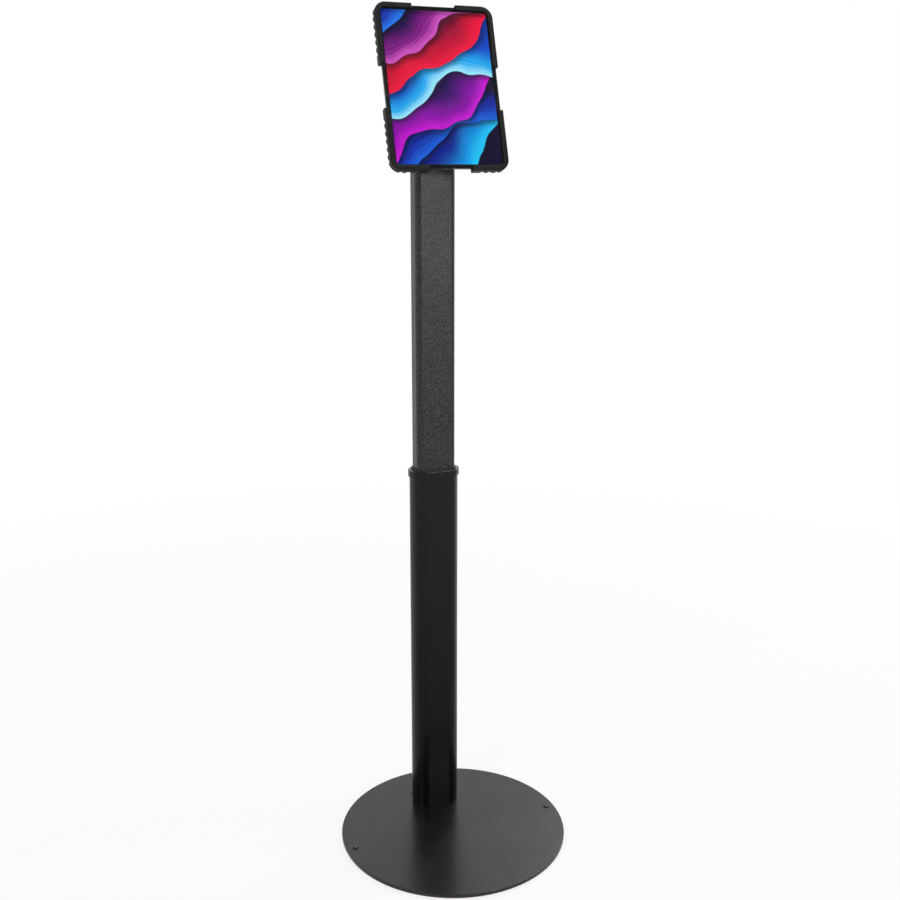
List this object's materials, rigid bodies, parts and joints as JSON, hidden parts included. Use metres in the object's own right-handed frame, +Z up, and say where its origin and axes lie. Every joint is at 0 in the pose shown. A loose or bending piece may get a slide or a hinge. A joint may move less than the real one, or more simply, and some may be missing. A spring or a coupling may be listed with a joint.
{
  "type": "tablet floor stand",
  "caption": "Floor stand that holds a tablet in corner grips on a telescoping column over a round steel base, with tilt and portrait to landscape turning.",
  "frame": {"origin": "centre of the round base plate, on the floor", "axes": "+Z up; -Y towards the person at the tablet; +X to that person's right"},
  "size_m": [0.3699, 0.37, 1.3093],
  "materials": {
    "plate_coat": "fine powder coat, satin black",
    "tube_coat": "smooth satin black",
    "mast_coat": "orange peel powder coat, black",
    "rubber": "matt black rubber",
    "trim_plastic": "black moulded plastic, slight gloss",
    "guide_plastic": "black acetal",
    "zinc_steel": "zinc plated steel",
    "black_screw": "black oxide steel",
    "bracket_coat": "black powder coat",
    "knob_plastic": "black moulded plastic with fine grain",
    "brass": "turned brass",
    "hub_plastic": "black moulded plastic",
    "grip_plastic": "grey black moulded plastic",
    "tablet_metal": "bead blasted grey aluminium",
    "screen": "lit display with a plain abstract picture",
    "cover_glass": "polished glass, black border"
  },
  "bodies": {
    "stand": {"base_plate": "plate_coat", "rubber_pads": "rubber", "hole_plugs": "trim_plastic", "column_screws": "zinc_steel", "foot_plate": "zinc_steel", "lower_tube": "tube_coat", "collar": "trim_plastic", "guide_sleeve": "guide_plastic", "lock_boss": "zinc_steel"},
    "height_lock": {"lock_knob": "knob_plastic", "lock_stud": "zinc_steel", "pressure_pad": "guide_plastic"},
    "mast": {"upper_tube": "mast_coat", "end_glide": "guide_plastic", "top_plate": "mast_coat", "yoke": "bracket_coat", "yoke_screws": "black_screw", "tilt_bolt": "black_screw", "tilt_washers": "guide_plastic", "knob_washer": "zinc_steel"},
    "tilt_lock": {"tilt_knob": "knob_plastic", "knob_insert": "brass"},
    "tilt_head": {"tilt_knuckle": "bracket_coat", "spindle_bolt": "zinc_steel", "spring_washer": "zinc_steel"},
    "cradle": {"hub_housing": "hub_plastic", "hub_front": "bracket_coat", "hub_screws": "zinc_steel", "clamp_screws": "black_screw", "backing_pad": "rubber", "spindle_bush": "guide_plastic", "friction_disc": "guide_plastic", "tablet_case": "tablet_metal", "tablet_display": "screen", "tablet_glass": "cover_glass"},
    "arm_unit_top_left": {"arm_top_left": "bracket_coat", "grip_top_left": "grip_plastic", "liner_top_left": "rubber", "grip_screws_top_left": "black_screw"},
    "arm_unit_top_right": {"arm_top_right": "bracket_coat", "grip_top_right": "grip_plastic", "liner_top_right": "rubber", "grip_screws_top_right": "black_screw"},
    "arm_unit_bottom_left": {"arm_bottom_left": "bracket_coat", "grip_bottom_left": "grip_plastic", "liner_bottom_left": "rubber", "grip_screws_bottom_left": "black_screw"},
    "arm_unit_bottom_right": {"arm_bottom_right": "bracket_coat", "grip_bottom_right": "grip_plastic", "liner_bottom_right": "rubber", "grip_screws_bottom_right": "black_screw"}
  },
  "joints": [
    {"name": "height_slide", "type": "slide", "parent": "stand", "child": "mast", "axis": [0, 0, 1], "range_m": [-0.4, 0]},
    {"name": "height_knob_turn", "type": "hinge", "parent": "stand", "child": "height_lock", "pos_m": [0, 0.092, 0.569], "axis": [0, 1, 0], "range_deg": [0, 360]},
    {"name": "tilt", "type": "hinge", "parent": "mast", "child": "tilt_head", "pos_m": [0, 0.092, 1.1757], "axis": [1, 0, 0], "range_deg": [-71.5, 18.5]},
    {"name": "tilt_knob_turn", "type": "hinge", "parent": "mast", "child": "tilt_lock", "pos_m": [0, 0.092, 1.1757], "axis": [1, 0, 0], "range_deg": [0, 360]},
    {"name": "cradle_turn", "type": "hinge", "parent": "tilt_head", "child": "cradle", "pos_m": [0, 0.092, 1.1757], "axis": [0, -0.9483, 0.3173], "continuous": true},
    {"name": "arm_slide_top_left", "type": "slide", "parent": "cradle", "child": "arm_unit_top_left", "axis": [-0.5874, 0.2568, 0.7675], "range_m": [0, 0.02]},
    {"name": "arm_slide_top_right", "type": "slide", "parent": "cradle", "child": "arm_unit_top_right", "axis": [0.5874, 0.2568, 0.7675], "range_m": [0, 0.02]},
    {"name": "arm_slide_bottom_left", "type": "slide", "parent": "cradle", "child": "arm_unit_bottom_left", "axis": [-0.5874, -0.2568, -0.7675], "range_m": [0, 0.02]},
    {"name": "arm_slide_bottom_right", "type": "slide", "parent": "cradle", "child": "arm_unit_bottom_right", "axis": [0.5874, -0.2568, -0.7675], "range_m": [0, 0.02]}
  ]
}
